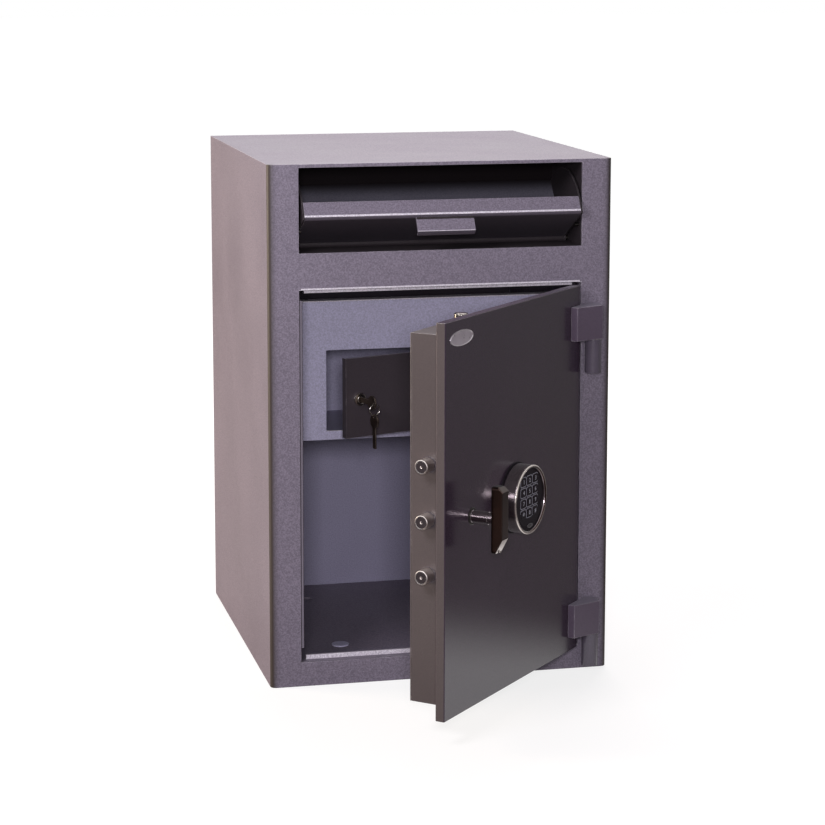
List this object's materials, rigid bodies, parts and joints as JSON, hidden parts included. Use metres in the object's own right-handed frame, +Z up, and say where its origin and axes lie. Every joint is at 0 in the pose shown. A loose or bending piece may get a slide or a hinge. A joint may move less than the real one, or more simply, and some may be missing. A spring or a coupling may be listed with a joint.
{
  "type": "drop safe with deposit hopper",
  "caption": "Upright steel drop safe with a tilting deposit hopper above a swinging, bolted door with a round keypad and bar handle, and a small key-locked inner locker.",
  "frame": {"origin": "centre of the cabinet's underside, midway between its sides and between its front face and its rear", "axes": "+Z up, the front with both openings faces -Y, +X to the right as seen from the front"},
  "size_m": [0.48, 0.814, 0.72],
  "materials": {
    "body_paint": "speckled powder coat",
    "dark_paint": "smooth semi-gloss",
    "liner_paint": "satin",
    "chrome": "satin chrome",
    "plain_steel": "plain",
    "keypad_plastic": "matt"
  },
  "bodies": {
    "cabinet": {"cabinet_shell": "body_paint", "back_panel": "body_paint", "door_frame": "body_paint", "door_stops": "body_paint", "hinge_barrels": "body_paint", "hinge_washers": "chrome", "recess_sides": "body_paint", "recess_floor": "dark_paint", "throat_baffle": "dark_paint", "hopper_rod": "plain_steel", "hopper_stop_pins": "plain_steel", "deposit_chute": "dark_paint", "locker_panel": "liner_paint", "locker_box": "dark_paint", "locker_hinge_brackets": "plain_steel", "locker_strike": "plain_steel", "floor_plugs": "liner_paint"},
    "hopper": {"hopper_tray": "body_paint", "hopper_back": "body_paint", "hopper_cheeks": "body_paint", "pull_tab": "body_paint"},
    "door": {"door_plate": "dark_paint", "bolt_box": "dark_paint", "back_cover": "dark_paint", "hinge_block_upper": "dark_paint", "hinge_block_lower": "dark_paint", "hinge_pins": "plain_steel", "keypad_housing": "chrome", "keypad_face": "keypad_plastic", "door_badge": "chrome", "spindle_bush": "plain_steel", "lock_case": "plain_steel"},
    "handle": {"handle_bar": "chrome", "handle_spindle": "chrome", "cam_disc": "plain_steel"},
    "side_boltwork": {"side_bolts": "chrome", "bolt_bar": "plain_steel"},
    "upper_boltwork": {"top_bolt": "chrome"},
    "lower_boltwork": {"bottom_bolt": "chrome"},
    "locker_leaf": {"locker_door": "dark_paint", "locker_hinge_pins": "plain_steel", "lock_barrel": "chrome"},
    "locker_lock": {"lock_core": "chrome", "lock_cam": "plain_steel", "locker_key": "chrome"},
    "hanging_keys": {"key_ring": "chrome", "spare_key": "chrome"},
    "button_1": {"key_1": "keypad_plastic"},
    "button_2": {"key_2": "keypad_plastic"},
    "button_3": {"key_3": "keypad_plastic"},
    "button_4": {"key_4": "keypad_plastic"},
    "button_5": {"key_5": "keypad_plastic"},
    "button_6": {"key_6": "keypad_plastic"},
    "button_7": {"key_7": "keypad_plastic"},
    "button_8": {"key_8": "keypad_plastic"},
    "button_9": {"key_9": "keypad_plastic"},
    "button_star": {"key_star": "keypad_plastic"},
    "button_0": {"key_0": "keypad_plastic"},
    "button_hash": {"key_hash": "keypad_plastic"}
  },
  "joints": [
    {"name": "main_door_hinge", "type": "hinge", "parent": "cabinet", "child": "door", "pos_m": [0.2115, -0.267, 0.292], "axis": [0, 0, 1], "range_deg": [-47.7, 67.3]},
    {"name": "hopper_tilt", "type": "hinge", "parent": "cabinet", "child": "hopper", "pos_m": [0, -0.182, 0.603], "axis": [-1, 0, 0], "range_deg": [0, 63.2]},
    {"name": "handle_turn", "type": "hinge", "parent": "door", "child": "handle", "pos_m": [-0.01194, -0.51256, 0.289], "axis": [0.7396, -0.673, 0], "range_deg": [0, 90]},
    {"name": "side_bolt_slide", "type": "slide", "parent": "door", "child": "side_boltwork", "axis": [-0.673, -0.7396, 0], "range_m": [0, 0.0201]},
    {"name": "top_bolt_slide", "type": "slide", "parent": "door", "child": "upper_boltwork", "axis": [0, 0, 1], "range_m": [0, 0.0201]},
    {"name": "bottom_bolt_slide", "type": "slide", "parent": "door", "child": "lower_boltwork", "axis": [0, 0, -1], "range_m": [0, 0.0201]},
    {"name": "locker_door_hinge", "type": "hinge", "parent": "cabinet", "child": "locker_leaf", "pos_m": [0.0813, -0.0758, 0.379], "axis": [0, 0, 1], "range_deg": [-19.5, 50]},
    {"name": "locker_lock_turn", "type": "hinge", "parent": "locker_leaf", "child": "locker_lock", "pos_m": [-0.09262, -0.13739, 0.37682], "axis": [-0.3338, 0.9426, 0], "range_deg": [0, 90]},
    {"name": "key_ring_swing", "type": "hinge", "parent": "locker_lock", "child": "hanging_keys", "pos_m": [-0.07786, -0.17905, 0.37527], "axis": [0.9426, 0.3338, 0], "range_deg": [-60, 15]},
    {"name": "press_1", "type": "slide", "parent": "door", "child": "button_1", "axis": [-0.7396, 0.673, 0], "range_m": [0, 0.001], "stiffness_N_per_m": 400, "springref_m": -0.001},
    {"name": "press_2", "type": "slide", "parent": "door", "child": "button_2", "axis": [-0.7396, 0.673, 0], "range_m": [0, 0.001], "stiffness_N_per_m": 400, "springref_m": -0.001},
    {"name": "press_3", "type": "slide", "parent": "door", "child": "button_3", "axis": [-0.7396, 0.673, 0], "range_m": [0, 0.001], "stiffness_N_per_m": 400, "springref_m": -0.001},
    {"name": "press_4", "type": "slide", "parent": "door", "child": "button_4", "axis": [-0.7396, 0.673, 0], "range_m": [0, 0.001], "stiffness_N_per_m": 400, "springref_m": -0.001},
    {"name": "press_5", "type": "slide", "parent": "door", "child": "button_5", "axis": [-0.7396, 0.673, 0], "range_m": [0, 0.001], "stiffness_N_per_m": 400, "springref_m": -0.001},
    {"name": "press_6", "type": "slide", "parent": "door", "child": "button_6", "axis": [-0.7396, 0.673, 0], "range_m": [0, 0.001], "stiffness_N_per_m": 400, "springref_m": -0.001},
    {"name": "press_7", "type": "slide", "parent": "door", "child": "button_7", "axis": [-0.7396, 0.673, 0], "range_m": [0, 0.001], "stiffness_N_per_m": 400, "springref_m": -0.001},
    {"name": "press_8", "type": "slide", "parent": "door", "child": "button_8", "axis": [-0.7396, 0.673, 0], "range_m": [0, 0.001], "stiffness_N_per_m": 400, "springref_m": -0.001},
    {"name": "press_9", "type": "slide", "parent": "door", "child": "button_9", "axis": [-0.7396, 0.673, 0], "range_m": [0, 0.001], "stiffness_N_per_m": 400, "springref_m": -0.001},
    {"name": "press_star", "type": "slide", "parent": "door", "child": "button_star", "axis": [-0.7396, 0.673, 0], "range_m": [0, 0.001], "stiffness_N_per_m": 400, "springref_m": -0.001},
    {"name": "press_0", "type": "slide", "parent": "door", "child": "button_0", "axis": [-0.7396, 0.673, 0], "range_m": [0, 0.001], "stiffness_N_per_m": 400, "springref_m": -0.001},
    {"name": "press_hash", "type": "slide", "parent": "door", "child": "button_hash", "axis": [-0.7396, 0.673, 0], "range_m": [0, 0.001], "stiffness_N_per_m": 400, "springref_m": -0.001}
  ],
  "couplings": [
    {"joint": "side_bolt_slide", "follows": "handle_turn", "m_per_rad": 0.012732},
    {"joint": "top_bolt_slide", "follows": "handle_turn", "m_per_rad": 0.012732},
    {"joint": "bottom_bolt_slide", "follows": "handle_turn", "m_per_rad": 0.012732}
  ]
}
